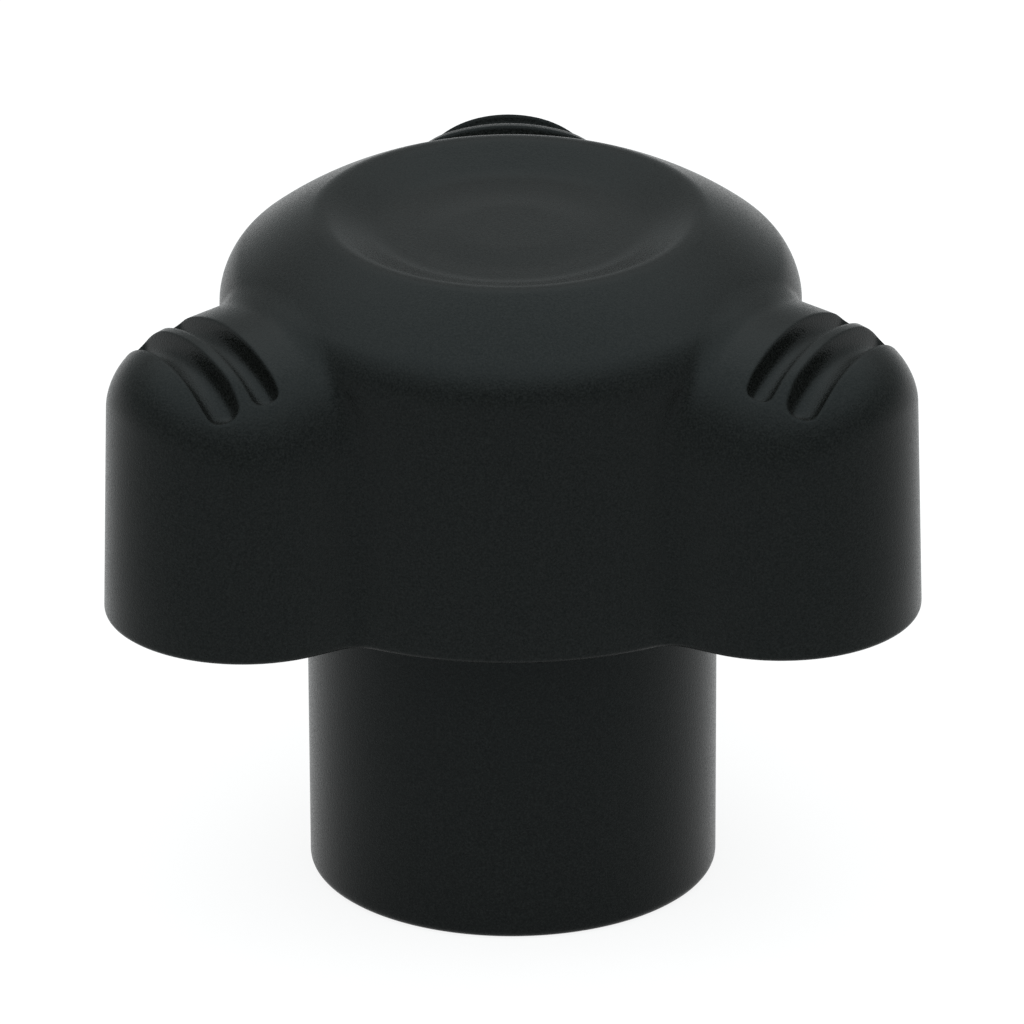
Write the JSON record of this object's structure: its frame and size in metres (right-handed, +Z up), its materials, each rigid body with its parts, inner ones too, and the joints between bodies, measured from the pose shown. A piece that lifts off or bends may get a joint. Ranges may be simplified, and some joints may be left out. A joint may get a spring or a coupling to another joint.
{
  "type": "three-lobe clamping knob",
  "caption": "Black moulded hand knob with rounded lobes, grip grooves and a dished top, on a round stem with a blind threaded brass insert for clamping on a screw.",
  "frame": {"origin": "middle of the stem's lower face, at the mouth of the threaded hole", "axes": "+Z up the stem's axis towards the dished top, and +Y out along one lobe"},
  "size_m": [0.0454, 0.0414, 0.0394],
  "materials": {
    "moulded_plastic": "black, fine spark-eroded grain",
    "insert_brass": "turned and knurled"
  },
  "bodies": {
    "root": {"knob_body": "moulded_plastic", "threaded_insert": "insert_brass"}
  },
  "joints": []
}
